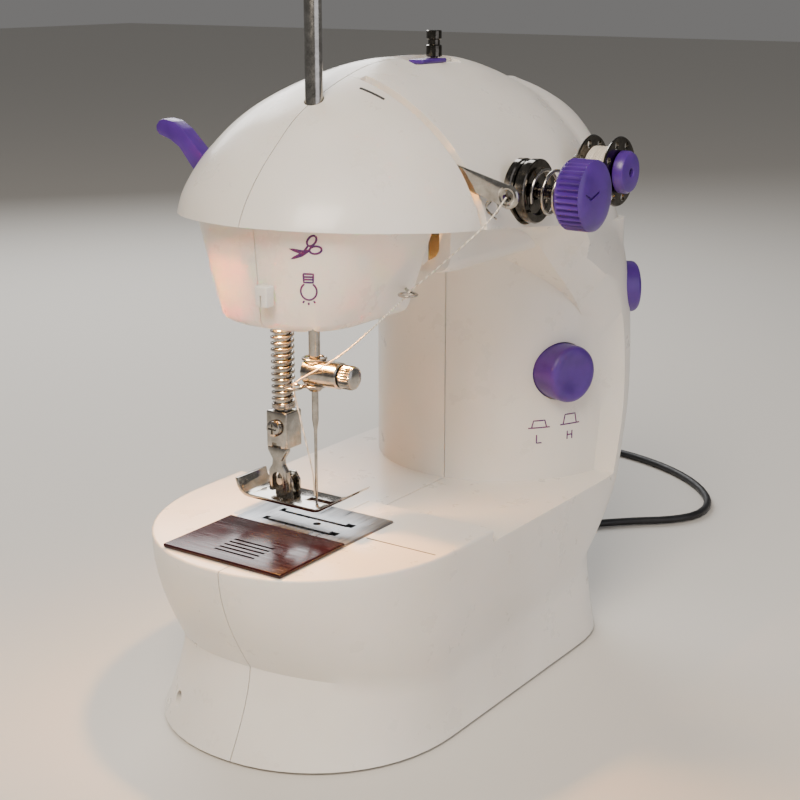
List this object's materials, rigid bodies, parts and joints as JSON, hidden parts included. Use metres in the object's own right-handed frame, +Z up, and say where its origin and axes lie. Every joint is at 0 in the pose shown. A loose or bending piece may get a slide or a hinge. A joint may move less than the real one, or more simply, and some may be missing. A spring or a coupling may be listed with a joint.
{
  "type": "sewing machine",
  "caption": "Portable domestic sewing machine with a C-shaped white casing, needle and presser bars, thread tension knob, front bobbin, hand wheel and power lead.",
  "frame": {"origin": "middle of the machine footprint, on the surface it stands on", "axes": "+X from the needle end to the hand wheel, +Y away from the operator, +Z up"},
  "size_m": [0.318, 0.2087, 0.2381],
  "materials": {
    "shell_white": "smooth white injection-moulded shell",
    "purple": "satin purple moulded plastic",
    "dark_plastic": "fine matt dark plastic",
    "smoke_plate": "dark translucent red-brown moulded cover",
    "rubber_pad": "matt grey rubber",
    "chrome_part": "polished nickel-chrome plate",
    "steel_part": "stamped and machined steel",
    "thread": "twisted white sewing thread",
    "lamp_glass": "small clear glass bulb"
  },
  "bodies": {
    "casing": {"front_shell": "shell_white", "rear_shell": "shell_white", "head_cover": "shell_white", "bottom_cover": "shell_white", "foot_pad_1": "rubber_pad", "foot_pad_2": "rubber_pad", "foot_pad_3": "rubber_pad", "foot_pad_4": "rubber_pad", "needle_plate": "chrome_part", "bobbin_case": "dark_plastic", "motor": "steel_part", "timing_belt": "dark_plastic", "chassis": "steel_part", "presser_spring": "chrome_part", "lamp_socket": "dark_plastic", "lamp_bulb": "lamp_glass", "thread_cutter": "shell_white", "face_guide": "chrome_part", "tension_stud": "chrome_part", "tension_disc_rear": "chrome_part", "tension_disc_front": "chrome_part", "tension_spring": "chrome_part", "spool_pin": "chrome_part", "spool_spring": "chrome_part", "spool_cap": "purple", "pole_lower": "chrome_part", "thread_upper": "thread", "thread_needle": "thread", "power_plug": "dark_plastic", "power_lead": "dark_plastic", "lead_coil": "dark_plastic", "wall_adapter": "dark_plastic"},
    "main_shaft": {"main_shaft": "steel_part", "hand_wheel": "purple"},
    "needle_bar": {"needle_yoke": "steel_part", "needle_bar": "chrome_part", "needle_clamp": "chrome_part", "clamp_screw": "chrome_part", "needle": "chrome_part"},
    "take_up": {"take_up_lever": "chrome_part"},
    "feed": {"feed_dog": "steel_part"},
    "lower_shaft": {"lower_shaft": "steel_part"},
    "hook": {"shuttle_hook": "chrome_part"},
    "pinion": {"motor_pinion": "dark_plastic"},
    "lower_bobbin": {"lower_bobbin": "chrome_part"},
    "presser": {"presser_bar": "chrome_part", "foot_holder": "chrome_part", "foot_screw": "chrome_part"},
    "foot": {"presser_foot": "chrome_part"},
    "lifter": {"lifter_lever": "purple"},
    "tension_knob": {"tension_knob": "purple"},
    "bobbin": {"spool_bobbin": "chrome_part", "spool_thread": "thread"},
    "winder": {"winder_slider": "purple"},
    "winder_spindle": {"winder_spindle": "chrome_part"},
    "pole_upper": {"pole_upper": "chrome_part"},
    "speed_button": {"speed_button": "purple"},
    "power_button": {"power_button": "purple"},
    "slide_plate": {"slide_plate": "smoke_plate"}
  },
  "joints": [
    {"name": "main_shaft_turn", "type": "hinge", "parent": "casing", "child": "main_shaft", "pos_m": [0.01615, 0.0092, 0.15], "axis": [1, 0, 0], "range_deg": [-90, 90]},
    {"name": "needle_bar_slide", "type": "slide", "parent": "casing", "child": "needle_bar", "axis": [0, 0, 1], "range_m": [-0.009, 0.009], "deforming": ["thread_needle"]},
    {"name": "take_up_swing", "type": "hinge", "parent": "casing", "child": "take_up", "pos_m": [-0.03235, 0.0072, 0.166], "axis": [1, 0, 0], "range_deg": [-20, 20], "deforming": ["thread_upper"]},
    {"name": "feed_slide", "type": "slide", "parent": "casing", "child": "feed", "axis": [0, 1, 0], "range_m": [-0.0013, 0.0013]},
    {"name": "lower_shaft_turn", "type": "hinge", "parent": "casing", "child": "lower_shaft", "pos_m": [0.01615, 0.0092, 0.026], "axis": [1, 0, 0], "range_deg": [-95, 95]},
    {"name": "hook_turn", "type": "hinge", "parent": "casing", "child": "hook", "pos_m": [-0.06485, 0.0092, 0.04], "axis": [0, 0, 1], "range_deg": [-185, 185]},
    {"name": "pinion_turn", "type": "hinge", "parent": "casing", "child": "pinion", "pos_m": [0.03815, -0.0066, 0.026], "axis": [1, 0, 0], "range_deg": [-310, 310]},
    {"name": "lower_bobbin_spin", "type": "hinge", "parent": "casing", "child": "lower_bobbin", "pos_m": [-0.06485, 0.0092, 0.046], "axis": [0, 0, 1], "continuous": true},
    {"name": "lifter_swing", "type": "hinge", "parent": "casing", "child": "lifter", "pos_m": [-0.05035, 0.0352, 0.1535], "axis": [1, 0, 0], "range_deg": [-22, 22]},
    {"name": "presser_slide", "type": "slide", "parent": "casing", "child": "presser", "axis": [0, 0, 1], "range_m": [-0.0047, 0.0047], "deforming": ["presser_spring"]},
    {"name": "foot_pivot", "type": "hinge", "parent": "presser", "child": "foot", "pos_m": [-0.05035, 0.0155, 0.0692], "axis": [1, 0, 0], "range_deg": [-3, 3]},
    {"name": "tension_turn", "type": "hinge", "parent": "casing", "child": "tension_knob", "pos_m": [-0.00985, -0.0558, 0.1519], "axis": [0, 1, 0], "range_deg": [-150, 150]},
    {"name": "bobbin_spin", "type": "hinge", "parent": "casing", "child": "bobbin", "pos_m": [0.02665, -0.0438, 0.1538], "axis": [0, 1, 0], "continuous": true},
    {"name": "winder_slide", "type": "slide", "parent": "casing", "child": "winder", "axis": [1, 0, 0], "range_m": [-0.004, 0.003]},
    {"name": "winder_spin", "type": "hinge", "parent": "winder", "child": "winder_spindle", "pos_m": [0.00885, 0.0042, 0.186], "axis": [0, 0, 1], "continuous": true},
    {"name": "pole_slide", "type": "slide", "parent": "casing", "child": "pole_upper", "axis": [0, 0, 1], "range_m": [-0.011, 0.02]},
    {"name": "speed_press", "type": "slide", "parent": "casing", "child": "speed_button", "axis": [0.3429, 0.9394, 0], "range_m": [0, 0.003]},
    {"name": "power_press", "type": "slide", "parent": "casing", "child": "power_button", "axis": [-0.6669, 0.7452, 0], "range_m": [0, 0.0025]},
    {"name": "slide_plate_slide", "type": "slide", "parent": "casing", "child": "slide_plate", "axis": [0, -1, 0], "range_m": [0, 0.02]}
  ],
  "couplings": [
    {"joint": "needle_bar_slide", "follows": "main_shaft_turn", "m_per_rad": -0.00573},
    {"joint": "take_up_swing", "follows": "main_shaft_turn", "ratio": 0.22222},
    {"joint": "feed_slide", "follows": "main_shaft_turn", "m_per_rad": 0.000828},
    {"joint": "lower_shaft_turn", "follows": "main_shaft_turn", "ratio": 1},
    {"joint": "hook_turn", "follows": "main_shaft_turn", "ratio": 2},
    {"joint": "pinion_turn", "follows": "main_shaft_turn", "ratio": -3.4286},
    {"joint": "presser_slide", "follows": "lifter_swing", "m_per_rad": -0.012}
  ]
}
